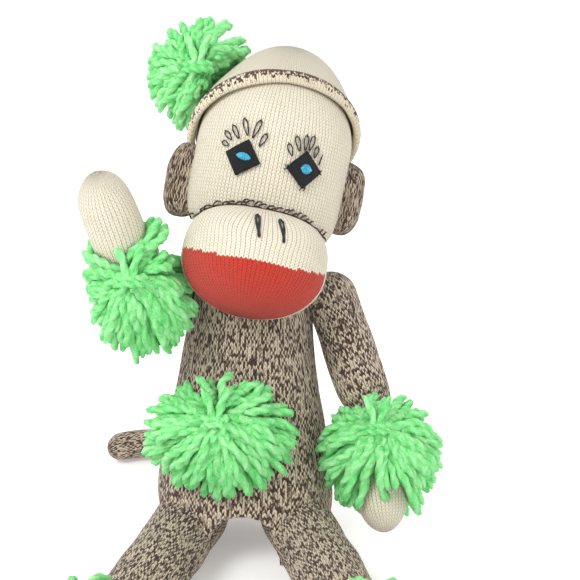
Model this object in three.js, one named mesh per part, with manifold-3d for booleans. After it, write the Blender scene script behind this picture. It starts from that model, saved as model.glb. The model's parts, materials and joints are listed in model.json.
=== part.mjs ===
// A stuffed sock monkey doll with yarn pom-poms, sitting on a flat surface with its right arm raised.
// Millimetres, +Z up. The doll faces -Y, and its own left side is on +X.
// Each limb is split where it bends. A knitted skin (the sock) is an open shell around its stuffing.
import * as THREE from 'three';
import { mergeVertices } from 'three/addons/utils/BufferGeometryUtils.js';
import Module from 'manifold-3d';

const wasm = await Module();
wasm.setup();

// Driving dimensions, in millimetres and degrees.
const clearance = 0.4; // between pieces that touch
const knitThickness = 1.6;
const threadRadius = 0.8;

const hipHeight = 26; // hip axis above the surface that the doll sits on
const hipSpacing = 66;
const legSplay = 17;
const hipFoldUp = 15; // the thighs fold up this far, and down the rest of a right angle
const thighRadius = 23;
const kneeRadius = 22;
const thighLength = 82;
const shinLength = 80;
const ankleRadius = 20;
const footLength = 76;
const footRadius = 22;
const kneeBend = 80;

const torsoLean = 15;
const torsoRoll = 2;
const torsoDepthShare = 0.78; // depth over width
const neckHeight = 172; // neck pivot above the hip axis
const neckRadius = 22;
const neckRise = 8; // top of the neck above its pivot

const headRadius = 51;
const headDomeHeight = 78; // centre of the round top above the neck pivot
const headNod = -5;
const headRoll = 9;
const headTurn = 4;

const muzzleHalfWidth = 45;
const muzzleHalfHeight = 33.6;
const muzzleReach = 47;
const muzzleForward = 54;
const muzzleDrop = 5;
const muzzleTilt = 12;

const eyeSpacing = 39;
const eyeHeight = 59;
const eyeSide = 17;
const feltThickness = 1.5;

const earHeight = 46;
const earWidth = 27;
const earThickness = 15;
const earLevelLeft = 50;
const earLevelRight = 42;
const earAzimuth = 84; // round the head from the face
const earFoldRoom = 2.6;

const capThickness = 2.2;
const brimRadius = 3.8;
const brimLevel = 86; // height of the brim over the ears
const brimSlopeSide = 0.184;
const brimSlopeBack = 0.76;

const shoulderReach = 36; // middle of the torso to the end of the arm that is sewn to it
const shoulderHeight = 148;
const armRadius = 17.5;
const upperArmLength = 40;
const forearmLength = 40;
const elbowBend = 110;
const wristRadius = 14;
const seamRadius = 5; // ring of thread that holds the arm's closed end
const seamRoom = 3.6; // round the arm's end, for that thread
const handLength = 78;
const handRadius = 16.5;

const tailRadius = 11;
const pomTieRadius = 5;
const pomTieYarn = 1.9;
const pomToMuzzle = 9; // between the raised wrist's pom-pom and the muzzle

const slouchBack = 12; // the loose top of the cap, behind and above the round of the head
const slouchRise = 14;

const rad = Math.PI / 180;
const slouchHalf = [headRadius - 8, headRadius - 6, headRadius];
const shoulderSpacing = 2 * (shoulderReach + armRadius);
const facetRoom = headRadius * 0.0085; // a round head of flat facets stands off a true circle by this
const legLength = thighLength + shinLength + footLength;
// The legs slope down so that the feet rest on the surface.
const legLean = Math.asin((hipHeight - footRadius) / (legLength - footRadius)) / rad;

// Materials
const cloth = (color) => new THREE.MeshStandardMaterial({ color, roughness: 0.95, metalness: 0 });
const marlKnit = cloth(0x8a7462);
const creamKnit = cloth(0xe4dac6);
const redKnit = cloth(0xcc3c2c);
const fill = cloth(0xf2f0ea);
const greenYarn = cloth(0x7edb84);
const greenTie = cloth(0x55b862);
const blackFelt = cloth(0x2a282e);
const blueFloss = cloth(0x32a8d0);
const blackFloss = cloth(0x1f1c1e);
const brownThread = cloth(0x3f2b2a);

// Outlines are lists of (radius, height) points that run down the outside of a body of revolution.
function arc(centreRadius, centreHeight, across, along, from, to, steps) {
  const points = [];
  for (let i = 0; i <= steps; i++) {
    const angle = (from + ((to - from) * i) / steps) * rad;
    const radius = centreRadius + across * Math.cos(angle);
    points.push(new THREE.Vector2(Math.max(0, radius), centreHeight + along * Math.sin(angle)));
  }
  return points;
}

function smooth(stations, steps) {
  const points = stations.map(([radius, height]) => new THREE.Vector2(radius, height));
  const curve = new THREE.SplineCurve(points);
  return curve.getPoints(steps);
}

// The same outline, set inwards by a depth.
function inset(outline, depth) {
  return outline.map((point, i) => {
    const before = outline[i - 1] ?? point;
    const after = outline[i + 1] ?? point;
    const heading = after.clone().sub(before).normalize();
    if (point.x < 1e-6) {
      return new THREE.Vector2(0, point.y - Math.sign(heading.x) * depth);
    }
    return new THREE.Vector2(Math.max(0, point.x + heading.y * depth), point.y - heading.x * depth);
  });
}

function lathe(points, sides) {
  return new THREE.LatheGeometry(points, sides).rotateX(Math.PI / 2);
}

function shell(outline, thickness, sides) {
  const loop = [...outline, ...inset(outline, thickness).reverse()];
  const onAxis = outline[0].x < 1e-6;
  return lathe(onAxis ? loop : [...loop, outline[0].clone()], sides);
}

// The whole inside of an outline. Its open ends are flat, moved outwards by overrun.
function filled(outline, sides, overrun = 0) {
  const first = outline[0];
  const last = outline[outline.length - 1];
  const points = [...outline];
  if (first.x > 1e-6) {
    if (overrun) points.unshift(new THREE.Vector2(first.x, first.y + overrun));
    points.unshift(new THREE.Vector2(0, first.y + overrun));
  }
  if (last.x > 1e-6) {
    if (overrun) points.push(new THREE.Vector2(last.x, last.y - overrun));
    points.push(new THREE.Vector2(0, last.y - overrun));
  }
  return lathe(points, sides);
}

// A closed mesh as a manifold solid, whichever way round its faces run.
function solid(geometry) {
  const plain = geometry.clone();
  plain.deleteAttribute('normal');
  plain.deleteAttribute('uv');
  const merged = mergeVertices(plain, 1e-4);
  const place = merged.attributes.position;
  const triangles = [];
  const corner = [new THREE.Vector3(), new THREE.Vector3(), new THREE.Vector3()];
  let volume = 0;
  for (let i = 0; i < merged.index.count; i += 3) {
    const [a, b, c] = [0, 1, 2].map((k) => merged.index.getX(i + k));
    if (a === b || b === c || c === a) continue;
    triangles.push([a, b, c]);
    [a, b, c].forEach((index, k) => corner[k].fromBufferAttribute(place, index));
    volume += corner[0].dot(corner[1].clone().cross(corner[2]));
  }
  const outward = volume > 0 ? triangles : triangles.map(([a, b, c]) => [a, c, b]);
  const mesh = new wasm.Mesh({
    numProp: 3,
    vertProperties: Float32Array.from(place.array),
    triVerts: Uint32Array.from(outward.flat()),
  });
  return new wasm.Manifold(mesh);
}

function piece(name, body, material, parent) {
  const found = body.getMesh();
  const geometry = new THREE.BufferGeometry();
  geometry.setAttribute('position', new THREE.BufferAttribute(Float32Array.from(found.vertProperties), 3));
  geometry.setIndex(new THREE.BufferAttribute(Uint32Array.from(found.triVerts), 1));
  geometry.computeVertexNormals();
  const mesh = new THREE.Mesh(geometry, material);
  mesh.name = name;
  parent.add(mesh);
  return mesh;
}

function joint(parent, x, y, z) {
  const group = new THREE.Group();
  group.position.set(x, y, z);
  parent.add(group);
  return group;
}

// A world-placed geometry, in the frame of one group.
function inFrame(group, geometry) {
  group.updateWorldMatrix(true, false);
  return geometry.clone().applyMatrix4(group.matrixWorld.clone().invert());
}

function ball(radius, x, y, z) {
  return new THREE.SphereGeometry(radius, 14, 9).translate(x, y, z);
}

function tube(points, radius, sides, steps) {
  const profile = new THREE.Shape();
  for (let i = 0; i < sides; i++) {
    const angle = (2 * Math.PI * i) / sides;
    const corner = [radius * Math.cos(angle), radius * Math.sin(angle)];
    if (i === 0) profile.moveTo(...corner);
    else profile.lineTo(...corner);
  }
  const path = new THREE.CatmullRomCurve3(points, false, 'centripetal');
  return new THREE.ExtrudeGeometry(profile, { steps, extrudePath: path, bevelEnabled: false });
}

// What a limb's lower half sweeps as it bends, cut from the end of its upper half.
// side is -1 where the limb bends forwards and 1 where it bends backwards.
function bendRoom(length, radius, bend, side) {
  const reach = 6 * radius;
  const wedge = new THREE.BoxGeometry(reach, reach, reach);
  wedge.translate(0, side * (radius + 2 * clearance - reach / 2), -reach / 2);
  wedge.rotateX(side * bend * rad);
  wedge.translate(0, 0, -length);
  return solid(wedge).add(solid(ball(radius * 1.02 + 2 * clearance, 0, 0, -length)));
}

const trimmed = (body, cuts) => cuts.reduce((left, cut) => left.subtract(cut), body);

function sock(name, outline, sides, material, group, cuts = []) {
  piece(name, trimmed(solid(shell(outline, knitThickness, sides)), cuts), material, group);
}

// One wad of stuffing, which may run on from one outline into the next.
function stuffing(name, outlines, sides, group, cuts = []) {
  const overrun = outlines.length > 1 ? 5 : 0;
  const wads = outlines.map(([outline, from], i) => {
    const core = filled(inset(outline, knitThickness + clearance), sides, i > 0 ? overrun : 0);
    from.updateWorldMatrix(true, false);
    return solid(inFrame(group, core.applyMatrix4(from.matrixWorld)));
  });
  piece(name, trimmed(wads.reduce((all, wad) => all.add(wad)), cuts), fill, group);
}

const doll = new THREE.Group();
const pelvis = joint(doll, 0, 0, hipHeight);
const torso = joint(pelvis, 0, 0, 0);
torso.rotation.set(-torsoLean * rad, torsoRoll * rad, 0);

// Torso: one knitted tube, gathered at the neck, open into the legs, flat where it is sat on.
const torsoOutline = smooth(
  [
    [24, 167], [32, 161], [38, 150], [41, 128], [46, 100], [53, 60],
    [58, 25], [57, 0], [46, -22], [24, -33], [0, -36],
  ],
  14,
);

function torsoBody(depth, floorThickness) {
  const outline = inset(torsoOutline, depth);
  const reach = 400;
  const ground = new THREE.BoxGeometry(reach, reach, reach);
  ground.translate(0, 0, floorThickness - reach / 2);
  const body = lathe([...(outline[0].x > 0 ? [new THREE.Vector2(0, outline[0].y)] : []), ...outline], 16);
  body.scale(1, torsoDepthShare, 1);
  return solid(body).subtract(solid(inFrame(torso, ground)));
}

function buildTorso() {
  const reach = 400;
  const room = thighRadius + clearance;
  const notch = new THREE.BoxGeometry(reach, reach, reach);
  notch.translate(0, room - reach / 2, room - reach / 2);
  notch.rotateX(-hipFoldUp * rad);
  notch.translate(0, 0, hipHeight);
  const half = shoulderSpacing / 2;
  const cuts = [
    solid(inFrame(torso, notch)),
    solid(ball(armRadius + seamRoom, half, 0, shoulderHeight)),
    solid(ball(armRadius + seamRoom, -half, 0, shoulderHeight)),
    solid(ball(neckRadius + 3 * clearance, 0, 0, neckHeight)),
  ];
  const skin = torsoBody(0, 0).subtract(torsoBody(knitThickness, knitThickness));
  piece('torso_sock', trimmed(skin, cuts), marlKnit, torso);
  const core = knitThickness + clearance;
  piece('torso_stuffing', trimmed(torsoBody(core, core), cuts), fill, torso);
}
buildTorso();

// Legs: the lower half of the same knitted tube, slit and sewn into two, with cream feet.
function buildLeg(side, tag) {
  const hip = joint(pelvis, (side * hipSpacing) / 2, 0, 0);
  hip.rotation.order = 'ZXY';
  hip.rotation.set((-90 + legLean) * rad, 0, side * legSplay * rad);
  const thigh = [
    ...arc(0, 0, thighRadius, thighRadius, 62, 0, 4),
    new THREE.Vector2(kneeRadius, -thighLength),
  ];
  const kneeRoom = [bendRoom(thighLength, kneeRadius, kneeBend, 1)];
  sock(`thigh_sock_${tag}`, thigh, 10, marlKnit, hip, kneeRoom);
  stuffing(`thigh_stuffing_${tag}`, [[thigh, hip]], 10, hip, kneeRoom);

  const knee = joint(hip, 0, 0, -thighLength);
  const shin = [
    ...arc(0, 0, kneeRadius, kneeRadius, 62, 0, 4),
    new THREE.Vector2((kneeRadius + ankleRadius) / 2 + 0.8, -shinLength / 2),
    new THREE.Vector2(ankleRadius, -shinLength),
  ];
  sock(`shin_sock_${tag}`, shin, 10, marlKnit, knee);

  const ankle = joint(knee, 0, 0, -shinLength - clearance);
  const foot = [
    new THREE.Vector2(ankleRadius, 0),
    ...arc(0, -footLength + footRadius * 1.2, footRadius, footRadius * 1.2, 25, -90, 6),
  ];
  sock(`foot_sock_${tag}`, foot, 10, creamKnit, ankle);
  stuffing(`lower_leg_stuffing_${tag}`, [[shin, knee], [foot, ankle]], 10, knee);
  return { hip, knee, ankle, outer: [[shin, knee], [foot, ankle]] };
}

const legs = { l: buildLeg(1, 'l'), r: buildLeg(-1, 'r') };

// Arms: stuffed tubes sewn to the sides of the torso by a ring of thread, with cream hands.
function buildArm(side, tag, pose) {
  const seam = joint(torso, (side * shoulderSpacing) / 2, 0, shoulderHeight);
  seam.rotation.y = -side * pose.raise * rad;
  const ring = new THREE.TorusGeometry(seamRadius, threadRadius, 4, 10).rotateY(Math.PI / 2);
  ring.translate(-side * (armRadius + clearance + threadRadius), 0, 0);
  piece(`shoulder_seam_thread_${tag}`, solid(ring), brownThread, seam);
  const shoulder = joint(seam, 0, 0, 0);
  shoulder.rotation.order = 'XYZ';
  shoulder.rotation.set(-pose.swing * rad, 0, pose.twist * rad);
  const upper = [
    ...arc(0, 0, armRadius, armRadius, 66, 0, 5),
    new THREE.Vector2(armRadius, -upperArmLength),
  ];
  const elbowRoom = [bendRoom(upperArmLength, armRadius, elbowBend, -1)];
  sock(`upper_arm_sock_${tag}`, upper, 10, marlKnit, shoulder, elbowRoom);
  stuffing(`upper_arm_stuffing_${tag}`, [[upper, shoulder]], 10, shoulder, elbowRoom);

  const elbow = joint(shoulder, 0, 0, -upperArmLength);
  elbow.rotation.x = -pose.bend * rad;
  const fore = [
    ...arc(0, 0, armRadius, armRadius, 62, 0, 4),
    new THREE.Vector2(armRadius, -forearmLength * 0.6),
    new THREE.Vector2(wristRadius, -forearmLength),
  ];
  sock(`forearm_sock_${tag}`, fore, 10, marlKnit, elbow);

  const wrist = joint(elbow, 0, 0, -forearmLength);
  wrist.rotation.y = pose.handTilt * rad;
  const hand = [
    new THREE.Vector2(wristRadius * 0.86, -5),
    ...arc(0, -handLength + handRadius * 1.5, handRadius, handRadius * 1.5, 30, -90, 6),
  ];
  sock(`hand_sock_${tag}`, hand, 10, creamKnit, wrist);
  stuffing(`lower_arm_stuffing_${tag}`, [[fore, elbow], [hand, wrist]], 10, elbow);
  return { elbow, wrist, outer: [[fore, elbow], [hand, wrist]] };
}

const arms = {
  l: buildArm(1, 'l', { raise: 21, swing: 10, twist: 0, bend: 4, handTilt: 12 }),
  r: buildArm(-1, 'r', { raise: 30, swing: 50, twist: -30, bend: 90, handTilt: 8 }),
};

// Neck: the narrow gathered part of the sock, drawn in by a thread.
const neck = joint(torso, 0, 0, neckHeight);
neck.rotation.set(headNod * rad, headRoll * rad, 0);
const head = joint(neck, 0, 0, 0);
head.rotation.z = headTurn * rad;

function buildNeck() {
  const topAngle = Math.asin(neckRise / neckRadius) / rad;
  const outline = arc(0, 0, neckRadius, neckRadius, topAngle, -60, 6);
  sock('neck_sock', outline, 12, marlKnit, neck);
  stuffing('neck_stuffing', [[outline, neck]], 12, neck);
  const level = neckRise / 2;
  const ringRadius = Math.sqrt(neckRadius ** 2 - level ** 2) + clearance + threadRadius;
  const ring = new THREE.TorusGeometry(ringRadius, threadRadius, 4, 16).translate(0, 0, level);
  piece('neck_gathering_thread', solid(ring), brownThread, neck);
}

// Head: the toe end of the sock, cream, stuffed round.
const headOutline = [
  ...arc(0, headDomeHeight, headRadius, headRadius, 90, 0, 6),
  ...smooth([
    [headRadius, 50], [headRadius - 0.5, 33], [headRadius - 4, 21], [36, 12], [20, neckRise + clearance],
  ], 6),
];

// Radius of the head, grown outwards, at one height.
function headRadiusAt(height, growth) {
  const reach = headRadius + growth;
  if (height > headDomeHeight) {
    return Math.sqrt(Math.max(0, reach ** 2 - (height - headDomeHeight) ** 2));
  }
  const last = headOutline.findIndex((point) => point.y < height);
  if (last < 1) return reach;
  const [low, high] = [headOutline[last], headOutline[last - 1]];
  const share = (height - low.y) / (high.y - low.y);
  return low.x + (high.x - low.x) * share + growth;
}

// A point on the face, round the head from the middle of the face and at a height.
function onHead(around, height, growth) {
  const radius = headRadiusAt(height, growth);
  const angle = around / headRadius;
  return new THREE.Vector3(radius * Math.sin(angle), -radius * Math.cos(angle), height);
}

const grownHead = (growth) => solid(filled(inset(headOutline, -growth), 16));

function buildHead() {
  sock('head_sock', headOutline, 16, creamKnit, head);
  stuffing('head_stuffing', [[headOutline, head]], 16, head);
}

// Muzzle: the heel of a second sock, stuffed and whip-stitched to the face.
function muzzleShape(growth) {
  const body = new THREE.SphereGeometry(1, 18, 10);
  body.scale(muzzleHalfWidth + growth, muzzleReach + growth, muzzleHalfHeight + growth);
  body.rotateX(-muzzleTilt * rad);
  return body.translate(0, -muzzleForward, -muzzleDrop);
}

const muzzleBody = (growth) => solid(muzzleShape(growth));

function buildMuzzle() {
  const reach = 200;
  const backPlane = new THREE.BoxGeometry(reach, reach, reach);
  backPlane.translate(0, reach / 2 - muzzleForward + 10, 0);
  const seat = grownHead(clearance).add(solid(backPlane));
  const inner = muzzleBody(-knitThickness);
  piece('muzzle_sock', muzzleBody(0).subtract(inner).subtract(seat), redKnit, head);
  piece('muzzle_stuffing', muzzleBody(-knitThickness - clearance).subtract(seat), fill, head);

  // The stitches follow the corner between muzzle and face, over the top of the muzzle.
  const growth = threadRadius + clearance + facetRoom;
  const tilt = muzzleTilt * rad;
  const outside = (point) => {
    const y = point.y + muzzleForward;
    const z = point.z + muzzleDrop;
    const along = y * Math.cos(tilt) - z * Math.sin(tilt);
    const up = y * Math.sin(tilt) + z * Math.cos(tilt);
    return (
      (point.x / (muzzleHalfWidth + growth)) ** 2 +
        (along / (muzzleReach + growth)) ** 2 +
        (up / (muzzleHalfHeight + growth)) ** 2 > 1
    );
  };
  const path = [];
  const stitches = 12;
  for (let i = 0; i <= stitches; i++) {
    const angle = (28 + (124 * i) / stitches) * rad;
    let [near, far] = [0, 80];
    for (let k = 0; k < 24; k++) {
      const middle = (near + far) / 2;
      const point = onHead(middle * Math.cos(angle), middle * Math.sin(angle) - muzzleDrop, growth);
      if (outside(point)) far = middle;
      else near = middle;
    }
    path.push(onHead(far * Math.cos(angle), far * Math.sin(angle) - muzzleDrop, growth));
  }
  piece('muzzle_seam_thread', solid(tube(path, threadRadius, 4, 20)), brownThread, head);
}

// Eyes: black felt squares set on a corner, each with a stitched blue pupil and six looped lashes.
function buildEye(side, tag) {
  const around = (side * eyeSpacing) / 2;
  const azimuth = around / headRadius;
  const eye = joint(head, 0, 0, 0);
  eye.position.copy(onHead(around, eyeHeight, clearance));
  eye.rotation.order = 'ZXY';
  eye.rotation.set(Math.PI / 2, 0, azimuth);
  const felt = new THREE.BoxGeometry(eyeSide, eyeSide, feltThickness);
  felt.rotateZ((45 - 8) * rad);
  felt.translate(0, 0, feltThickness / 2 + 0.9);
  piece(`eye_felt_${tag}`, solid(felt), blackFelt, eye);
  const pupil = new THREE.SphereGeometry(1, 10, 5).scale(4.6, 3.3, 1.1);
  pupil.translate(-1.2, 0.4, feltThickness + 0.9 + clearance + 1.1);
  piece(`pupil_${tag}`, solid(pupil), blueFloss, eye);
}

function buildLashes(side, tag) {
  const middle = (side * eyeSpacing) / 2;
  const lift = threadRadius + clearance;
  const rowHeight = eyeHeight + eyeSide * 0.2;
  const start = eyeSide * 0.8;
  const loops = 6;
  const path = [];
  for (let i = 0; i < loops; i++) {
    const angle = ((side > 0 ? 142 : 150) - (112 * i) / (loops - 1)) * rad;
    const tip = start + 8.5;
    const half = 0.1;
    const spots = [[start, -half * 0.4], [start + 5, -half], [tip, 0], [start + 5, half], [start, half * 0.4]];
    for (const [far, turn] of spots) {
      const direction = angle - turn;
      const height = rowHeight - 4 + far * Math.sin(direction);
      path.push(onHead(middle + far * Math.cos(direction), height, lift));
    }
  }
  piece(`lashes_${tag}`, solid(tube(path, threadRadius * 0.5, 4, 40)), blackFloss, head);
}

function buildNostril(side, tag) {
  const lift = threadRadius * 0.6 + clearance;
  const points = [[0, 30], [1.7, 36], [0.2, 43], [-1.7, 36], [-0.6, 30]].map(([across, lean]) => {
    const tilt = muzzleTilt * rad;
    const angle = lean * rad;
    const around = (side * 8 + across) / muzzleReach;
    const radial = (muzzleReach + lift) * Math.cos(angle);
    const along = -radial * Math.cos(around);
    const up = (muzzleHalfHeight + lift) * Math.sin(angle);
    return new THREE.Vector3(
      (muzzleHalfWidth + lift) * Math.cos(angle) * Math.sin(around),
      along * Math.cos(tilt) + up * Math.sin(tilt) - muzzleForward,
      -along * Math.sin(tilt) + up * Math.cos(tilt) - muzzleDrop,
    );
  });
  piece(`nostril_${tag}`, solid(tube(points, threadRadius * 0.6, 4, 12)), blackFloss, head);
}

// Ears: small stuffed pads of sock, each sewn along one edge, which fold to and fro.
function buildEar(side, tag) {
  const azimuth = side * earAzimuth * rad;
  const earLevel = side > 0 ? earLevelLeft : earLevelRight;
  const root = headRadius + earFoldRoom / 2;
  const ear = joint(head, root * Math.sin(azimuth), -root * Math.cos(azimuth), earLevel);
  const body = new THREE.SphereGeometry(1, 12, 8);
  body.scale(earWidth / 2, earThickness / 2, earHeight / 2);
  body.rotateZ(azimuth - (side * Math.PI) / 2);
  const away = headRadius + 4;
  body.translate(away * Math.sin(azimuth), -away * Math.cos(azimuth), earLevel);
  const placed = body.translate(-ear.position.x, -ear.position.y, -ear.position.z);
  const seat = filled(inset(headOutline, -earFoldRoom), 16);
  seat.translate(-ear.position.x, -ear.position.y, -ear.position.z);
  piece(`ear_${tag}`, solid(placed).subtract(solid(seat)), marlKnit, ear);
  return ear;
}

// Cap: the other toe, cream, with its open end rolled into a marled brim, pulled on and tacked down.
function brimPlane(rise) {
  const reach = 400;
  const below = new THREE.BoxGeometry(reach, reach, reach).translate(0, 0, -reach / 2);
  const normal = new THREE.Vector3(-brimSlopeSide, brimSlopeBack, 1).normalize();
  below.applyQuaternion(new THREE.Quaternion().setFromUnitVectors(new THREE.Vector3(0, 0, 1), normal));
  below.translate(normal.x * rise, normal.y * rise, brimLevel + normal.z * rise);
  return solid(below);
}

function crownBody(growth) {
  const [across, along, up] = slouchHalf.map((half) => half + growth);
  const slouch = new THREE.SphereGeometry(1, 16, 9).scale(across, along, up);
  slouch.translate(2, slouchBack, headDomeHeight + slouchRise);
  return grownHead(growth + clearance).add(solid(slouch));
}

function buildCap() {
  const crown = crownBody(capThickness).subtract(crownBody(0)).subtract(brimPlane(brimRadius + clearance));
  piece('cap_crown', crown, creamKnit, head);
  const path = [];
  const turns = 28;
  for (let i = 0; i < turns; i++) {
    const azimuth = (2 * Math.PI * i) / turns;
    let height = brimLevel;
    let place = new THREE.Vector3();
    for (let k = 0; k < 40; k++) {
      place = onHead(azimuth * headRadius, height, brimRadius + clearance + facetRoom);
      const wanted = brimLevel + brimSlopeSide * place.x - brimSlopeBack * place.y;
      height += 0.4 * (wanted - height);
    }
    path.push(place);
  }
  const profile = new THREE.Shape().absellipse(0, 0, brimRadius, brimRadius, 0, 2 * Math.PI);
  const closedPath = new THREE.CatmullRomCurve3(path, true, 'centripetal');
  const roll = new THREE.ExtrudeGeometry(profile, { steps: 26, curveSegments: 4, extrudePath: closedPath });
  piece('cap_brim', solid(roll), marlKnit, head);
}

// Tail: a long thin stuffed tube that curls round behind the doll.
function buildTail() {
  const root = joint(torso, 0, 47, 8);
  root.updateWorldMatrix(true, false);
  const route = [[0, 52, 34], [0, 66, 27], [-10, 88, 17], [-38, 112, 12.5], [-78, 122, 12.5], [-112, 112, 12.5]];
  const path = route.map((point) => root.worldToLocal(new THREE.Vector3(...point)));
  const skin = solid(tube(path, tailRadius, 8, 12));
  const hollow = [...path];
  hollow[0] = path[0].clone().lerp(path[1], -0.3);
  hollow[hollow.length - 1] = path.at(-1).clone().lerp(path.at(-2), 0.06);
  const core = path.slice();
  core[core.length - 1] = path.at(-1).clone().lerp(path.at(-2), 0.08);
  piece('tail_sock', skin.subtract(solid(tube(hollow, tailRadius - knitThickness, 8, 12))), marlKnit, root);
  piece('tail_stuffing', solid(tube(core, tailRadius - knitThickness - 0.9, 8, 12)), fill, root);
}

// Pom-poms: bundles of green yarn, each tied round its middle and sewn down by the same tie.
// Centre, half sizes and tie are given in the doll's own upright frame.
function buildPom(name, group, { centre, halves, tie, facing }, keepClear) {
  const bundle = new THREE.SphereGeometry(1, 14, 8).scale(...halves).translate(...centre);
  const outward = new THREE.Vector3(...facing).normalize();
  const turn = new THREE.Quaternion().setFromUnitVectors(new THREE.Vector3(0, 0, 1), outward);
  const pitLength = 80;
  const pitRadius = pomTieRadius + pomTieYarn + clearance;
  const pit = new THREE.CylinderGeometry(pitRadius, pitRadius, pitLength, 12).rotateX(Math.PI / 2);
  pit.translate(0, 0, pitLength / 2 - pomTieYarn - clearance).applyQuaternion(turn).translate(...tie);
  const knot = new THREE.TorusGeometry(pomTieRadius, pomTieYarn, 5, 10);
  knot.applyQuaternion(turn).translate(...tie);
  const cuts = [solid(inFrame(group, pit)), ...keepClear];
  const yarn = cuts.reduce((left, cut) => left.subtract(cut), solid(inFrame(group, bundle)));
  piece(`${name}_yarn`, yarn, greenYarn, group);
  piece(`${name}_tie`, solid(inFrame(group, knot)), greenTie, group);
}

buildNeck();
buildHead();
buildMuzzle();
for (const [side, tag] of [[1, 'l'], [-1, 'r']]) {
  buildEye(side, tag);
  buildLashes(side, tag);
  buildNostril(side, tag);
  buildEar(side, tag);
}
buildCap();
buildTail();

// What a pom-pom leaves room for: the grown outside of the pieces that it is tied to.
function roomFor(outer, group) {
  return outer.map(([outline, from]) => {
    const grown = filled(inset(outline, -1.5 * clearance), 10, 6);
    from.updateWorldMatrix(true, false);
    return solid(inFrame(group, grown.applyMatrix4(from.matrixWorld)));
  });
}

const worldPoint = (group, ...offset) => {
  const origin = group.getWorldPosition(new THREE.Vector3());
  return origin.add(new THREE.Vector3(...offset));
};

function buildPoms() {
  const forward = [0, -0.94, 0.34];
  const { l: armL, r: armR } = arms;
  const muzzleRoom = solid(inFrame(armR.elbow, muzzleShape(pomToMuzzle).applyMatrix4(head.matrixWorld)));
  buildPom('wrist_pom_l', armL.elbow, {
    centre: worldPoint(armL.wrist, 10, -15, -25),
    halves: [37, 21, 38],
    tie: worldPoint(armL.wrist, 1, -29, 4),
    facing: forward,
  }, roomFor(armL.outer, armL.elbow));
  buildPom('wrist_pom_r', armR.elbow, {
    centre: worldPoint(armR.wrist, 5, 0, -4),
    halves: [35, 22, 42],
    tie: worldPoint(armR.wrist, 2, -22, 8),
    facing: forward,
  }, [...roomFor(armR.outer, armR.elbow), muzzleRoom]);
  for (const [tag, leg] of Object.entries(legs)) {
    buildPom(`ankle_pom_${tag}`, leg.knee, {
      centre: worldPoint(leg.ankle, 0, 0, 15),
      halves: [39, 32, 27],
      tie: worldPoint(leg.ankle, 0, 0, 39),
      facing: [0, 0, 1],
    }, roomFor(leg.outer, leg.knee));
  }
  const belly = torso.localToWorld(new THREE.Vector3(-15, -47, 61));
  buildPom('belly_pom', torso, {
    centre: belly,
    halves: [46, 22, 38],
    tie: belly.clone().add(new THREE.Vector3(-1, -14, 20)),
    facing: forward,
  }, [torsoBody(-1, 0)]);
  const capTip = head.localToWorld(new THREE.Vector3(-headRadius - 5, 26, headDomeHeight + 38));
  buildPom('cap_pom', head, {
    centre: capTip,
    halves: [36, 34, 40],
    tie: capTip.clone().add(new THREE.Vector3(0, -30, 10)),
    facing: forward,
  }, [crownBody(capThickness + clearance), grownHead(2 * clearance)]);
}
buildPoms();

// The origin is on the surface that the doll sits on, under the middle of its overall box.
doll.updateMatrixWorld(true);
const overall = new THREE.Box3().setFromObject(doll, true);
const middle = overall.getCenter(new THREE.Vector3());
doll.position.set(-middle.x, -middle.y, -overall.min.z);
doll.updateMatrixWorld(true);

export default doll;
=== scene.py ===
import json
import math
import random

import bpy
from mathutils import Matrix, Vector, noise
from mathutils.bvhtree import BVHTree


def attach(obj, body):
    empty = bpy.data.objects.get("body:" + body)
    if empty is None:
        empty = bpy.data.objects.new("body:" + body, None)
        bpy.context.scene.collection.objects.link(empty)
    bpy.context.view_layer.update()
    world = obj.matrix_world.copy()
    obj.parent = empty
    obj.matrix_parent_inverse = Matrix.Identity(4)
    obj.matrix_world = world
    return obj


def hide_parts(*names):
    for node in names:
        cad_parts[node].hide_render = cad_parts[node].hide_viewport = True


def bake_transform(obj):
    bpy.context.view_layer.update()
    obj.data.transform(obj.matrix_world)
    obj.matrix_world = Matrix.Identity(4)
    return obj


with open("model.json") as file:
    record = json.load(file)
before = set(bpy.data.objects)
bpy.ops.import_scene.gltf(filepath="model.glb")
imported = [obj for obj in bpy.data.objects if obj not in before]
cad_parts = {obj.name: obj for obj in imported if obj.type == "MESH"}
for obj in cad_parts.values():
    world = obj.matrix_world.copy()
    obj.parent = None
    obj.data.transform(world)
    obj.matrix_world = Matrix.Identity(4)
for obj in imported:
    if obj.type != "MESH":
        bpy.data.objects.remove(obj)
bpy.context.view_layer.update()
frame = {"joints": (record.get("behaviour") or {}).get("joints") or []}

random.seed(11)

# View: a camera a little above the doll and straight in front of it, as for a toy on a table.
pivots = {joint["name"]: Vector(joint["pos_m"]) for joint in frame["joints"]}
hips = (pivots["hip_fold_l"] + pivots["hip_fold_r"]) / 2
aim = hips + Vector((0.031, 0.0388, 0.1459))
look_down = math.radians(20)
stand_off = 0.70
lens_place = aim + stand_off * Vector((0, -math.cos(look_down), math.sin(look_down)))
bpy.ops.object.camera_add(location=lens_place, rotation=(math.pi / 2 - look_down, 0, 0))
camera = bpy.context.object
camera.data.lens = 65.2
camera.data.sensor_width = 36
bpy.context.scene.camera = camera

# Places: the doll's own upright frames, from its hips up, as its maker would measure them.
# The torso leans back, the neck leans with it, and the head is tipped towards its left.


def turned(axis, degrees):
    return Matrix.Rotation(math.radians(degrees), 4, axis)


def moved(*offset):
    return Matrix.Translation(offset)


torso_frame = Matrix.Translation(hips) @ turned("X", -15) @ turned("Y", 2)
neck_frame = torso_frame @ moved(0, 0, 0.172) @ turned("X", -5) @ turned("Y", 9)
head_frame = neck_frame @ turned("Z", 4)


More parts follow.
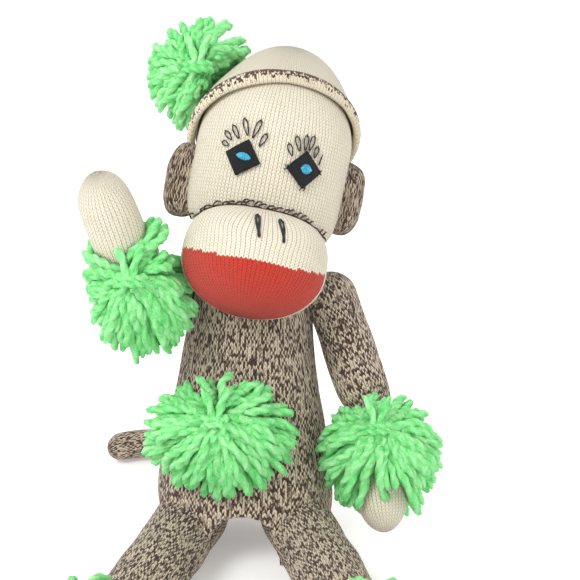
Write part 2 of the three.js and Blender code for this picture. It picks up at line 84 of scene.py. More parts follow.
# Knitted skins: every body piece is a tube of plain knitting, so each is made the same way.
# A flat grid of stitches is rolled to the piece's shape and its edges are closed.
def spread(points, count):
    """A smooth run through points, each a tuple of numbers, as count + 1 tuples."""
    run = []
    last = len(points) - 1
    for i in range(count + 1):
        place = i / count * last
        k = min(int(place), last - 1)
        t = place - k
        four = [points[max(0, min(last, j))] for j in (k - 1, k, k + 1, k + 2)]
        run.append(tuple(
            0.5 * (2 * b + (c - a) * t
                   + (2 * a - 5 * b + 4 * c - d) * t * t
                   + (3 * b - a - 3 * c + d) * t ** 3)
            for a, b, c, d in zip(*four)
        ))
    return run


def curved(first, corner, last, count):
    """count + 1 points of a curve that leaves first towards corner and arrives at last from it."""
    shares = [i / count for i in range(count + 1)]
    return [first.lerp(corner, t).lerp(corner.lerp(last, t), t) for t in shares]


def arc(centre, across, along, start, stop, count):
    """A quarter or half round of an outline, as (along, radius) pairs."""
    angles = [math.radians(start + (stop - start) * i / count) for i in range(count + 1)]
    return [(centre + along * math.sin(a), max(0.0, across * math.cos(a))) for a in angles]


def travelled(outline):
    lengths = [0.0]
    for a, b in zip(outline, outline[1:]):
        lengths.append(lengths[-1] + math.dist(a, b))
    return lengths


def part_way(outline, lengths, share):
    """The point at a share of an outline's length."""
    wanted = share * lengths[-1]
    k = 0
    while k < len(outline) - 2 and lengths[k + 1] < wanted:
        k += 1
    t = (wanted - lengths[k]) / max(1e-9, lengths[k + 1] - lengths[k])
    return tuple(a + (b - a) * t for a, b in zip(outline[k], outline[k + 1]))


def transport(line):
    """Headings and side directions that don't twist, at each point of a line."""
    headings = []
    for i in range(len(line)):
        ahead = line[min(i + 1, len(line) - 1)] - line[max(i - 1, 0)]
        headings.append(ahead.normalized())
    side = headings[0].orthogonal().normalized()
    sides = []
    for heading in headings:
        side = (side - heading * side.dot(heading)).normalized()
        sides.append(side)
    return headings, sides


def lumpy(place, size, depth):
    """How far the stuffing pushes the skin out at a place."""
    return depth * noise.noise(place / size)


def rolled(line, outline, lumps=0.0012):
    """The surface of a tube whose outline is (distance along line, radius) pairs."""
    headings, sides = transport(line)
    stations = travelled([tuple(p) for p in line])
    lengths = travelled(outline)

    def surface(u, v):
        station, radius = part_way(outline, lengths, v)
        k = 0
        while k < len(line) - 2 and stations[k + 1] < station:
            k += 1
        t = (station - stations[k]) / (stations[k + 1] - stations[k])
        centre = line[k] + (line[k + 1] - line[k]) * t
        t = min(1.0, max(0.0, t))
        heading = headings[k].lerp(headings[k + 1], t).normalized()
        side = sides[k].lerp(sides[k + 1], t)
        side = (side - heading * side.dot(heading)).normalized()
        angle = 2 * math.pi * u
        out = side * math.cos(angle) + heading.cross(side) * math.sin(angle)
        grown = radius + lumpy(centre + out * 0.02, 0.022, lumps) * min(1.0, radius / 0.01)
        return centre + out * grown

    return surface


def knitted(name, surface, around, along, wales, courses, finish, smooth_levels=1):
    """One skin of around by along faces, with its columns (wales) and rows (courses) as its UV."""
    bpy.ops.object.select_all(action="DESELECT")
    bpy.ops.mesh.primitive_grid_add(x_subdivisions=around, y_subdivisions=along, size=2)
    piece = bpy.context.object
    piece.name = name
    for vertex in piece.data.vertices:
        vertex.co = surface((vertex.co.x + 1) / 2, (vertex.co.y + 1) / 2)
    for spot in piece.data.uv_layers[0].data:
        spot.uv = (spot.uv.x * wales, spot.uv.y * courses)
    bpy.ops.object.mode_set(mode="EDIT")
    bpy.ops.mesh.select_all(action="SELECT")
    bpy.ops.mesh.remove_doubles(threshold=1e-5)
    bpy.ops.mesh.normals_make_consistent(inside=False)
    bpy.ops.object.mode_set(mode="OBJECT")
    bpy.ops.object.shade_smooth()
    if smooth_levels:
        levels = piece.modifiers.new("round", "SUBSURF")
        levels.levels = levels.render_levels = smooth_levels
        levels.uv_smooth = "NONE"
        bpy.ops.object.modifier_apply(modifier="round")
    piece.data.materials.append(finish)
    return piece


# Knit finishes: plain knitting in wool and cotton, of V-shaped stitches in columns.
# The sock's body is a marl of dark brown and cream plies, and its heel and toe are one colour. Every knit
# is also painted darker in the gaps between its stitches, as shade.
class Wire:
    """One socket of a material. Sums on wires add Math nodes."""

    def __init__(self, tree, socket=None):
        self.tree = tree
        self.socket = socket

    def node(self, kind, values, output=0, stops=None, **settings):
        made = self.tree.nodes.new(kind)
        for name, value in settings.items():
            setattr(made, name, value)
        if stops:
            marks = made.color_ramp.elements
            marks.remove(marks[-1])
            marks[0].position = stops[0][0]
            marks[0].color = (*stops[0][1], 1)
            for place, colour in stops[1:]:
                marks.new(place).color = (*colour, 1)
        for key, value in values.items():
            if isinstance(value, Wire):
                self.tree.links.new(value.socket, made.inputs[key])
            else:
                made.inputs[key].default_value = value
        return Wire(self.tree, made.outputs[output])

    def maths(self, operation, first, second=0.0):
        return self.node("ShaderNodeMath", {0: first, 1: second}, operation=operation)

    def __add__(self, other):
        return self.maths("ADD", self, other)

    __radd__ = __add__

    def __sub__(self, other):
        return self.maths("SUBTRACT", self, other)

    def __rsub__(self, other):
        return self.maths("SUBTRACT", other, self)

    def __mul__(self, other):
        return self.maths("MULTIPLY", self, other)

    __rmul__ = __mul__

    def __pow__(self, other):
        return self.maths("POWER", self, other)

    def fraction(self):
        return self.maths("FRACT", self)

    def floor(self):
        return self.maths("FLOOR", self)

    def size(self):
        return self.maths("ABSOLUTE", self)

    def sine(self):
        return self.maths("SINE", self)

    def above(self, level):
        return self.maths("GREATER_THAN", self, level)

    def held(self):
        """The same between 0 and 1."""
        return self.node("ShaderNodeClamp", {0: self})

    def blend(self, low, high):
        """low where this is 0 and high where it is 1, as colours."""
        socket_pair = {0: self, 6: low, 7: high}
        return self.node("ShaderNodeMix", socket_pair, output=2, data_type="RGBA")


def dyed(red, green, blue):
    """A colour as on a colour card, 0 to 255, as Blender's linear one."""
    shares = (red / 255, green / 255, blue / 255)
    return tuple(c / 12.92 if c <= 0.0404 else ((c + 0.055) / 1.055) ** 2.4 for c in shares)


def cloth(name):
    """A new matt fabric material: its tree, as a wire, and its shader."""
    made = bpy.data.materials.new(name)
    made.use_nodes = True
    shader = made.node_tree.nodes["Principled BSDF"]
    shader.inputs["Roughness"].default_value = 0.92
    shader.inputs["Specular IOR Level"].default_value = 0.25
    shader.inputs["Sheen Weight"].default_value = 0.12
    shader.inputs["Sheen Roughness"].default_value = 0.6
    return made, Wire(made.node_tree), shader


def finished(start, shader, colour, height, depth):
    """Joins a fabric's colour and relief to its shader."""
    relief = start.node("ShaderNodeBump", {"Height": height, "Distance": depth, "Strength": 1.0})
    start.tree.links.new(colour.socket, shader.inputs["Base Color"])
    start.tree.links.new(relief.socket, shader.inputs["Normal"])


def stitches(start):
    """Relief of plain knitting, with the number of the leg and of the row at each point."""
    uv = start.node("ShaderNodeUVMap", {})
    column = uv.node("ShaderNodeSeparateXYZ", {0: uv}, output=0)
    row = uv.node("ShaderNodeSeparateXYZ", {0: uv}, output=1)
    leg = (column.fraction() - 0.5).size() * 2
    course = row - leg * 0.7
    gap = leg ** 5
    groove = (1 - leg * 5).held()
    along = (course.fraction() * math.pi).sine()
    height = (1 - gap) * (0.4 + along * 0.6) - groove * 0.3
    return height, (column * 2).floor(), course.floor()


def grain(start, scale, detail=3.0):
    """Soft noise through the cloth, from 0 to 1."""
    place = start.node("ShaderNodeTexCoord", {}, output=3)
    return start.node("ShaderNodeTexNoise", {"Vector": place, "Scale": scale, "Detail": detail})


def fleck(start, leg_number, course):
    """A number from 0 to 1 of its own for each leg of each stitch."""
    spot = start.node("ShaderNodeCombineXYZ", {0: leg_number, 1: course})
    return start.node("ShaderNodeTexWhiteNoise", {"Vector": spot}, noise_dimensions="2D")


def plain_knit(name, colour, shade):
    """Cloth of one colour, with painted shade between its columns."""
    made, start, shader = cloth(name)
    height, leg_number, course = stitches(start)
    fuzz = grain(start, 900)
    # Painted shade: the tone is lowest in the gaps between stitches, where the ramp gives the darker shade
    # colour. The fuzz and fleck terms are random tone.
    tone = height * 0.75 + fuzz * 0.25 + fleck(start, leg_number, course) * 0.12
    knit_colour_and_shade = start.node("ShaderNodeValToRGB", {0: tone}, stops=[(0.15, dyed(*shade)), (0.78, dyed(*colour))])
    finished(start, shader, knit_colour_and_shade, height + fuzz * 0.3, 0.0007)
    return made


def marl_knit(name, dark, light):
    """Cloth of two plies, each leg of a stitch showing one of them, with painted shade in the gaps between
    stitches.
    """
    made, start, shader = cloth(name)
    height, leg_number, course = stitches(start)
    fuzz = grain(start, 800)
    patch = grain(start, 70, 2.0)
    # The two plies show by turns, one to each leg of a stitch, with slips where the twist changes.
    turn_about = ((leg_number + course) * 0.5).fraction() * 0.44
    ply = fleck(start, leg_number, course) * 0.6 + turn_about + fuzz * 0.44 + patch * 0.14
    stops = [(0.582, dyed(*dark)), (0.802, dyed(*light))]
    colour = start.node("ShaderNodeValToRGB", {0: ply}, stops=stops)
    # Painted shade: the gaps between stitches are darkened towards a dark brown.
    shaded = (height * 1.6).held().blend((*dyed(58, 38, 34), 1), colour)
    finished(start, shader, shaded, height + fuzz * 0.3, 0.0009)
    return made


cream_dye = (236, 228, 208)
# Painted shade: the second cream is the darker colour put in the gaps between stitches.
cream_painted_shade = (166, 148, 118)
marl = marl_knit("marl knit", (76, 52, 46), (220, 202, 178))
cream = plain_knit("cream knit", cream_dye, cream_painted_shade)

# Torso: the leg of the first sock, stuffed firm, gathered at the neck and flat where it sits.
# It is pear-shaped, creased and drawn up into an open arch between the legs.
torso_depth = 0.78
torso_outline = spread(
    [(0.167, 0.020), (0.161, 0.032), (0.150, 0.038), (0.128, 0.041), (0.100, 0.046), (0.060, 0.053),
     (0.025, 0.058), (0.0, 0.057), (-0.022, 0.048), (-0.033, 0.026), (-0.036, 0.0)],
    60,
)
torso_outline = [(0.171, 0.0)] + torso_outline
torso_lengths = travelled(torso_outline)
floor_gap = 0.0004
arch_half = 0.024  # half the arch's width between the legs
arch_height = 0.046  # of its front edge
arch_edge = 0.008  # over which the fabric turns into it
arch_back = 0.020  # how far behind the hips the fabric is drawn
arch_roof = 0.030  # the height of the opening behind, which gets lower towards the tail
arch_fall = 0.3  # how much lower for each step back


def torso_surface(u, v):
    height, radius = part_way(torso_outline, torso_lengths, v)
    radius = max(0.0, radius)
    angle = 2 * math.pi * u
    out = Vector((math.cos(angle), math.sin(angle) * torso_depth, 0))
    place = torso_frame @ (out * radius + Vector((0, 0, height)))
    place += (torso_frame.to_3x3() @ out) * lumpy(place, 0.035, 0.0022) * min(1, radius / 0.03)
    # The fabric is pulled into shallow creases that run up from between the legs.
    front = max(0.0, -math.sin(angle)) ** 2 * math.exp(-((height + 0.004) / 0.022) ** 2)
    place += (torso_frame.to_3x3() @ out) * -0.0016 * front * math.cos(14 * angle)
    place.z = max(place.z, floor_gap)
    # Between the legs the fabric is drawn back and up into the arch.
    span = (place.x - hips.x) / arch_half
    if abs(span) < 1:
        rise = math.sqrt(1 - span * span)
        inside = min(1.0, max(0.0, (arch_height * rise - place.z) / arch_edge))
        inside = inside * inside * (3 - 2 * inside)
        place.y += inside * max(0.0, hips.y + arch_back - place.y)
        tall = arch_roof - arch_fall * max(0.0, place.y - hips.y - arch_back)
        place.z = max(place.z, tall * rise)
    return place


torso = knitted("torso", torso_surface, 72, 84, 112, 118, marl)
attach(torso, "torso")
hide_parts("torso_sock", "torso_stuffing")

# Neck: the same sock drawn in by a thread under the head, so that it is pleated.
# It is mostly hidden behind the muzzle.
neck_radius = 0.022
neck_outline = [(-0.0215, 0.0)] + arc(0, neck_radius, neck_radius, -70, 22, 14) + [(0.0095, 0.0)]
neck_lengths = travelled(neck_outline)


def neck_surface(u, v):
    height, radius = part_way(neck_outline, neck_lengths, v)
    angle = 2 * math.pi * u
    pleat = 1 + 0.035 * math.cos(18 * angle) * max(0.0, height) / 0.008
    return neck_frame @ Vector((radius * pleat * math.cos(angle), radius * pleat * math.sin(angle), height))


neck = knitted("neck", neck_surface, 72, 20, 60, 22, marl, 0)
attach(neck, "neck")
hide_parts("neck_sock", "neck_stuffing")

# Head: the toe of the second sock, all cream, stuffed to an egg.
# The columns of stitches run straight up the face.
head_radius = 0.051
dome_height = 0.078
head_outline = arc(dome_height, head_radius, head_radius, 90, 0, 20)
head_outline += spread(
    [(dome_height, head_radius), (0.050, head_radius), (0.033, 0.0505), (0.021, 0.047), (0.012, 0.036),
     (0.0084, 0.020)],
    20,
)[1:]
head_lengths = travelled(head_outline)


def head_reach(height):
    """The head's radius at a height in its frame."""
    for (high, wide), (low, narrow) in zip(head_outline, head_outline[1:]):
        if low <= height <= high:
            return narrow + (wide - narrow) * (height - low) / max(1e-9, high - low)
    return 0.0


def on_head(around, height, lift):
    """A place on the face: how far round from its middle, how high, and how far off the skin."""
    angle = around / head_radius
    radius = head_reach(height) + lift
    return head_frame @ Vector((radius * math.sin(angle), -radius * math.cos(angle), height))


def head_surface(u, v):
    height, radius = part_way(head_outline, head_lengths, v)
    angle = 2 * math.pi * u
    place = Vector((radius * math.cos(angle), radius * math.sin(angle), height))
    return head_frame @ (place * (1 + lumpy(place, 0.05, 0.008)))


head = knitted("head", head_surface, 72, 60, 124, 74, cream)
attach(head, "head")
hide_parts("head_sock", "head_stuffing")

# Muzzle: the red heel of the second sock with the cream above it, cut out, stuffed and sewn on.
# It is a wide oval that hangs over the neck, and the red starts at a row of stitches.
muzzle_half = Vector((0.045, 0.047, 0.0336))
muzzle_back = 0.014
muzzle_frame = head_frame @ moved(0, -0.054, -0.005) @ turned("X", -12)
muzzle_courses = 62
muzzle_wales = 100
first_red_course = 28.6  # at the sides
red_sag = 6.4  # how many courses lower the red starts in front
squareness = 3.0  # of the top edge: 2 would be an oval


def muzzle_surface(u, v):
    angle = 2 * math.pi * u
    tilt = math.pi * (0.5 - v)
    x = math.cos(tilt) * math.cos(angle)
    y = math.cos(tilt) * math.sin(angle)
    z = math.sin(tilt)
    if z > 0:
        # The top edge is squarer than the bottom, where it is sewn along the face.
        straight = (abs(x) ** squareness + z ** squareness) ** (1 / squareness)
        square = math.hypot(x, z) / max(1e-6, straight)
        x, z = x * square, z * (0.15 + 0.85 * square)
    depth = muzzle_half.y if y < 0 else muzzle_back
    place = Vector((x * muzzle_half.x, y * depth, z * muzzle_half.z))
    return muzzle_frame @ (place * (1 + lumpy(place, 0.03, 0.01)))


heel, start, shader = cloth("heel knit")
height, leg_number, course = stitches(start)
fuzz = grain(start, 900)
# Painted shade: the tone is lowest in the gaps between stitches, where the ramps give a darker red and the
# darker cream.
tone = height * 0.85 + fuzz * 0.2 + fleck(start, leg_number, course) * 0.12
red_stops = [(0.15, dyed(112, 16, 12)), (0.8, dyed(200, 52, 32))]
cream_stops = [(0.15, dyed(*cream_painted_shade)), (0.78, dyed(*cream_dye))]
red = start.node("ShaderNodeValToRGB", {0: tone}, stops=red_stops)
pale = start.node("ShaderNodeValToRGB", {0: tone}, stops=cream_stops)
uv = start.node("ShaderNodeUVMap", {})
column = uv.node("ShaderNodeSeparateXYZ", {0: uv}, output=0)
front = 0 - (column * (2 * math.pi / muzzle_wales)).sine()
rim = start.node("ShaderNodeAttribute", {}, output=2, attribute_name="rim")
heeled = course.above(front * red_sag + first_red_course) * rim.above(0.0)
finished(start, shader, heeled.blend(pale, red), height + fuzz * 0.3, 0.0007)

muzzle = knitted("muzzle", muzzle_surface, 96, 56, muzzle_wales, muzzle_courses, heel)
# The heel ends along the lower rim, where the skin turns away from the main view and is cream again.
rim_turn = 0.17
rim_values = []
for vertex in muzzle.data.vertices:
    outlook = (lens_place - vertex.co).normalized()
    rim_values.append(vertex.normal.dot(outlook) - rim_turn)
muzzle.data.attributes.new("rim", "FLOAT", "POINT").data.foreach_set("value", rim_values)
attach(muzzle, "head")
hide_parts("muzzle_sock", "muzzle_stuffing")

# Cap: the other toe, cream, pulled on well back, with its soft top slouching behind.
# It is one layer of thick knitting, open below.
cap_gap = 0.0004
cap_cloth = 0.0022
brim_level = 0.086
brim_slope = Vector((0.184, -0.76))
slouch_middle = Vector((0.002, 0.012, 0.092))
slouch_half = Vector((0.0452, 0.0472, 0.0532))
dome_middle = Vector((0, 0, dome_height))


def cap_place(direction):
    """The cap's outside along a ray from the middle of the head's dome."""
    near = head_radius + cap_gap + cap_cloth
    scaled = Vector(direction[i] / slouch_half[i] for i in range(3))
    offset = Vector((dome_middle[i] - slouch_middle[i]) / slouch_half[i] for i in range(3))
    a, b, c = scaled.dot(scaled), scaled.dot(offset), offset.dot(offset) - 1
    far = (-b + math.sqrt(max(0.0, b * b - a * c))) / a
    blend = 0.004
    reach = near + blend * math.log(1 + math.exp(min(20, (far - near) / blend)))
    return dome_middle + direction * reach


def over_brim(place):
    """How far a place is above the sloping plane of the brim."""
    return place.z - (brim_level + brim_slope.x * place.x + brim_slope.y * place.y)


def ray_at(angle, tip):
    """A direction, tipped from straight up towards an angle round the head."""
    return Vector((math.sin(tip) * math.cos(angle), math.sin(tip) * math.sin(angle), math.cos(tip)))


def cap_surface(u, v):
    angle = 2 * math.pi * u
    low, high = 0.0, math.radians(150)
    for _ in range(26):
        middle = (low + high) / 2
        if over_brim(cap_place(ray_at(angle, middle))) > 0:
            low = middle
        else:
            high = middle
    tip = low * v
    ray = ray_at(angle, tip)
    place = cap_place(ray)
    return head_frame @ (place + ray * lumpy(place, 0.04, 0.002) * min(1, tip))


def skin_tree(piece):
    """A piece's faces, for finding what is near them."""
    corners = [vertex.co for vertex in piece.data.vertices]
    return BVHTree.FromPolygons(corners, [list(face.vertices) for face in piece.data.polygons])


cap = knitted("cap", cap_surface, 72, 36, 112, 44, cream)
cap_outside = skin_tree(cap)
bpy.context.view_layer.objects.active = cap
wall = cap.modifiers.new("wall", "SOLIDIFY")
wall.thickness = cap_cloth * 0.8
wall.offset = -1
bpy.ops.object.modifier_apply(modifier="wall")
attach(cap, "head")
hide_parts("cap_crown")

# Brim: the cap's open end, which rolls outwards by itself into a thick edge.
# The roll is marled above and cream below.
brim_radius = 0.0040
brim_width = 0.7  # its half width and half height, as shares of that radius
brim_tall = 1.4
brim_turns = 72
brim_rows = 14


def brim_middle(u):
    """A place on the line round the head that the roll follows."""
    angle = 2 * math.pi * u
    height = brim_level
    for _ in range(40):
        radius = head_reach(height) + brim_radius + 0.0007
        place = Vector((radius * math.sin(angle), -radius * math.cos(angle), height))
        height -= 0.4 * over_brim(place)
    return head_frame @ place


brim_line = [brim_middle(i / brim_turns) for i in range(brim_turns)]
brim_axis = (head_frame.to_3x3() @ Vector((-brim_slope.x, -brim_slope.y, 1))).normalized()


def brim_surface(u, v):
    at = u * brim_turns
    k = int(at) % brim_turns
    middle = brim_line[k].lerp(brim_line[(k + 1) % brim_turns], at - int(at))
    ahead = (brim_line[(k + 1) % brim_turns] - brim_line[k - 1]).normalized()
    out = ahead.cross(brim_axis).normalized()
    up = out.cross(ahead)
    angle = 2 * math.pi * v
    swell = 1 + 0.10 * noise.noise(middle * 60)
    section = out * math.cos(angle) * brim_width + up * math.sin(angle) * brim_tall
    return middle + section * brim_radius * swell


rolled_edge, start, shader = cloth("rolled edge knit")
height, leg_number, course = stitches(start)
fuzz = grain(start, 800)
patch = grain(start, 60)
level = 0.60 - (course * (2 * math.pi / brim_rows) + 0.6).sine() * 0.36
ply = fleck(start, leg_number, course) * 0.6 + fuzz * 0.5 + (patch - 0.5) * 0.2
dark = ply.above(level)
band = dark.blend((*dyed(236, 224, 196), 1), (*dyed(84, 56, 48), 1))
# Painted shade: the gaps between stitches are darkened towards a brown.
shaded = (height * 1.6 + 0.2).held().blend((*dyed(120, 96, 70), 1), band)
finished(start, shader, shaded, height + fuzz * 0.3, 0.0010)
brim = knitted("cap_brim_roll", brim_surface, 144, 14, 112, brim_rows, rolled_edge)
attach(brim, "head")
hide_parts("cap_brim")

# Ears: a pad of marl cut from the sock for each side, stuffed a little and sewn on by its edge.
# Each is cupped forwards and folds to and fro on its seam.
ear_half = Vector((0.0125, 0.0080, 0.0245))
ear_levels = {"l": 0.050, "r": 0.042}
ear_gaps = {"l": 0.001, "r": 0.003}
ear_squareness = 2.8
for side, tag in ((1, "l"), (-1, "r")):
    azimuth = side * math.radians(84)
    away = head_radius + ear_gaps[tag]
    ear_spot = moved(away * math.sin(azimuth), -away * math.cos(azimuth), ear_levels[tag])
    ear_frame = head_frame @ ear_spot
    ear_frame = ear_frame @ Matrix.Rotation(azimuth - side * math.pi / 2, 4, "Z")

    def ear_surface(u, v):
        angle = 2 * math.pi * u
        tilt = math.pi * (0.5 - v)
        flat = Vector((math.cos(tilt) * math.cos(angle), 0, math.sin(tilt)))
        straight = (abs(flat.x) ** ear_squareness + abs(flat.z) ** ear_squareness) ** (1 / ear_squareness)
        flat *= flat.length / max(1e-6, straight)
        thick = math.cos(tilt) * math.sin(angle)
        cup = 0.006 * (1 - min(1, flat.length)) ** 0.8
        y = thick * ear_half.y + cup
        if thick < 0:
            y += 0.0045 * (1 - min(1, flat.length))
        place = Vector((flat.x * ear_half.x, y, flat.z * ear_half.z))
        return ear_frame @ (place * (1 + lumpy(place + azimuth * Vector((1, 1, 1)), 0.012, 0.07)))

    ear = knitted(f"ear_pad_{tag}", ear_surface, 40, 30, 40, 26, marl)
    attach(ear, f"ear_{tag}")
    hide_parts(f"ear_{tag}")

# Arms: narrow tubes of marl, stuffed and sewn to the sides, with cream hands from the other toe.
# The elbow is only a soft place in the tube, so the skin runs on through it.
arm_radius = 0.0175
wrist_radius = 0.0140
arm_poses = {
    "l": {"side": 1, "raise": 21, "swing": 10, "twist": 0, "bend": 4, "tilt": 12},
    "r": {"side": -1, "raise": 30, "swing": 50, "twist": -30, "bend": 90, "tilt": 8},
}
shoulder_out = 0.0535
shoulder_height = 0.148
upper_arm = 0.040
forearm = 0.040
hand_length = 0.078
palm_radius = 0.0165
hand_radius = 0.0170


def rounded(points, cut):
    """A line through points with each corner replaced by a curve that starts cut before it."""
    line = [points[0]]
    for before, corner, after in zip(points, points[1:], points[2:]):
        a = corner + (before - corner).normalized() * cut
        b = corner + (after - corner).normalized() * cut
        line += curved(a, corner, b, 10)
    return line + [points[-1]]


arms = {}
skins = {"torso": torso, "head": head, "muzzle": muzzle}
for tag, pose in arm_poses.items():
    side = pose["side"]
    seam_frame = torso_frame @ moved(side * shoulder_out, 0, shoulder_height)
    seam_frame = seam_frame @ turned("Y", -side * pose["raise"])
    shoulder_frame = seam_frame @ turned("X", -pose["swing"]) @ turned("Z", pose["twist"])
    elbow_frame = shoulder_frame @ moved(0, 0, -upper_arm) @ turned("X", -pose["bend"])
    wrist_frame = elbow_frame @ moved(0, 0, -forearm) @ turned("Y", pose["tilt"])
    shoulder, elbow, wrist = (f.translation for f in (shoulder_frame, elbow_frame, wrist_frame))
    hand_tip = wrist_frame @ Vector((0, 0, -hand_length))
    arm_line = rounded([shoulder, elbow, wrist], 0.017)
    length = travelled([tuple(p) for p in arm_line])[-1]
    arm_outline = arc(0, arm_radius, arm_radius, -90, 0, 10)
    arm_outline += spread([(0.004, arm_radius), (length * 0.5, arm_radius), (length - 0.014, 0.0166),
                           (length - 0.003, wrist_radius), (length + 0.003, 0.011)], 30)
    arm_outline.append((length + 0.004, 0.0))
    full_line = arm_line + [wrist.lerp(hand_tip, (i + 1) / 8) for i in range(8)]
    arm = knitted(f"arm_{tag}", rolled(full_line, arm_outline), 44, 56, 42, 60, marl)
    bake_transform(arm)
    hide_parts(f"upper_arm_sock_{tag}", f"upper_arm_stuffing_{tag}", f"forearm_sock_{tag}")

    hand_line = [wrist.lerp(hand_tip, i / 16) for i in range(17)]
    hand_outline = [(0.001, 0.0)] + spread(
        [(0.002, 0.009), (0.006, 0.0122), (0.016, 0.0150), (0.030, palm_radius), (0.048, hand_radius)], 16)
    hand_outline += arc(hand_length - 0.028, hand_radius, 0.028, 2, 90, 12)
    hand = knitted(f"hand_{tag}", rolled(hand_line, hand_outline), 40, 40, 40, 40, cream)
    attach(hand, f"forearm_{tag}")
    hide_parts(f"hand_sock_{tag}", f"lower_arm_stuffing_{tag}")
    arms[tag] = {"wrist": wrist, "seam_frame": seam_frame}
    skins[f"arm_{tag}"] = arm
    skins[f"hand_{tag}"] = hand

# Legs: the foot of the first sock, slit and sewn into two stuffed tubes that rest on their feet.
# The feet are its cream toe and the knee, like the elbow, is a soft place in the tube.
thigh_radius = 0.023
knee_radius = 0.022
foot_radius = 0.022
thigh_length = 0.082
shin_length = 0.080
foot_length = 0.076
ankles = {}
for tag in ("l", "r"):
    hip = pivots[f"hip_fold_{tag}"]
    knee = pivots[f"knee_bend_{tag}"]
    way = (knee - hip).normalized()
    ankle = knee + way * shin_length
    length = thigh_length + shin_length
    leg_line = [hip + way * (length + foot_length) * i / 20 for i in range(21)]
    leg_outline = arc(0, thigh_radius, thigh_radius, -90, 0, 10)
    leg_outline += spread([(0.004, thigh_radius), (thigh_length, knee_radius), (length - 0.02, 0.0215),
                           (length - 0.002, 0.0188), (length + 0.003, 0.015)], 40)
    leg_outline.append((length + 0.004, 0.0))
    leg = knitted(f"leg_{tag}", rolled(leg_line, leg_outline, 0.0016), 52, 84, 62, 92, marl)
    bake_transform(leg)
    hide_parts(f"thigh_sock_{tag}", f"thigh_stuffing_{tag}", f"shin_sock_{tag}")

    foot_line = [ankle + way * foot_length * i / 16 for i in range(17)]
    foot_outline = [(0.001, 0.0)] + spread(
        [(0.002, 0.014), (0.006, 0.0178), (0.016, 0.0200), (0.034, 0.0216), (0.050, 0.0218)], 16)
    foot_outline += arc(foot_length - 0.025, foot_radius, 0.025, 2, 90, 12)
    foot = knitted(f"foot_{tag}", rolled(foot_line, foot_outline), 44, 40, 58, 38, cream)
    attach(foot, f"lower_leg_{tag}")
    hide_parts(f"foot_sock_{tag}", f"lower_leg_stuffing_{tag}")
    ankles[tag] = ankle
    skins[f"leg_{tag}"] = leg
    skins[f"foot_{tag}"] = foot

# Tail: a long thin tube of marl, sewn to the back of the torso, that curls round on the floor.
tail_radius = 0.011
tail_route = [(0, 0.052, 0.034), (0, 0.066, 0.027), (-0.010, 0.088, 0.017), (-0.038, 0.112, 0.0125),
              (-0.078, 0.122, 0.0125), (-0.112, 0.112, 0.0125)]
tail_line = [Vector((hips.x + x, hips.y + y, z)) for x, y, z in spread(tail_route, 40)]
tail_length = travelled([tuple(p) for p in tail_line])[-1]
tail_outline = [(0.0, 0.0), (0.001, tail_radius * 0.9), (0.02, tail_radius)]
tail_outline.append((tail_length - 0.03, tail_radius))
tail_outline += arc(tail_length - 0.012, tail_radius, 0.012, 0, 90, 8)
tail = knitted("tail", rolled(tail_line, tail_outline, 0.0008), 32, 80, 30, 84, marl)
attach(tail, "tail")
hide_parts("tail_sock", "tail_stuffing")


# Yarn and thread: each strand is two plies twisted together, so its section is an oval that turns.
strand_sides = 6
end_share = 0.55  # how thick a strand is at its ends, against its middle
hair_radius = 0.00011


def spun(name, strands, thickness, finish, turn=50.0, hairs=0):
    """One mesh of many strands, each a list of points.

    Its attributes hold each point's ply, its share of the way along, and its strand's own tint.
    """
    places, faces, ply, along, tint = [], [], [], [], []
    for line in strands:
        headings, side_ways = transport(line)
        own_tint = random.random()
        own_turn = random.random() * math.pi
        base = len(places)
        last = len(line) - 1
        for i, (point, heading, side) in enumerate(zip(line, headings, side_ways)):
            up = heading.cross(side)
            radius = thickness / 2 * (end_share if i in (0, last) else 1.0)
            for k in range(strand_sides):
                angle = 2 * math.pi * k / strand_sides
                oval = math.cos(2 * (angle - math.radians(turn) * i - own_turn))
                out = side * math.cos(angle) + up * math.sin(angle)
                places.append(point + out * radius * (1 + 0.2 * oval))
                ply.append(oval)
                along.append(i / last)
                tint.append(own_tint)
        for i in range(last):
            for k in range(strand_sides):
                a, b = (base + i * strand_sides + n % strand_sides for n in (k, k + 1))
                faces.append((a, b, b + strand_sides, a + strand_sides))
        for i, sense in ((0, -1), (last, 1)):
            places.append(line[i] + headings[i] * sense * thickness * 0.2)
            ply.append(-0.2)
            along.append(i / last)
            tint.append(own_tint)
            tip = len(places) - 1
            for k in range(strand_sides):
                a, b = (base + i * strand_sides + n % strand_sides for n in (k, k + 1))
                faces.append((tip, b, a) if i == 0 else (tip, a, b))
        # Loose fibres stand off the wool as fine spikes.
        for _ in range(hairs):
            i = random.randrange(2, last)
            way = Vector([random.gauss(0, 1) for _ in range(3)]).normalized()
            root = line[i] + way * thickness * 0.35
            tip_way = (way + headings[i] * random.gauss(0, 0.8)).normalized()
            thin = way.cross(tip_way.orthogonal()).normalized() * hair_radius
            other = tip_way.cross(thin).normalized() * hair_radius
            corner = len(places)
            places += [root + thin, root - thin + other, root - other]
            places.append(root + tip_way * random.uniform(0.002, 0.0042))
            ply += [0.6] * 4
            along += [i / last] * 4
            tint += [own_tint] * 4
            faces += [(corner, corner + 1, corner + 3), (corner + 1, corner + 2, corner + 3),
                      (corner + 2, corner, corner + 3), (corner, corner + 2, corner + 1)]
    mesh = bpy.data.meshes.new(name)
    mesh.from_pydata(places, [], faces)
    for label, values in (("ply", ply), ("along", along), ("tint", tint)):
        mesh.attributes.new(label, "FLOAT", "POINT").data.foreach_set("value", values)
    mesh.materials.append(finish)
    piece = bpy.data.objects.new(name, mesh)
    bpy.context.scene.collection.objects.link(piece)
    mesh.shade_smooth()
    return piece


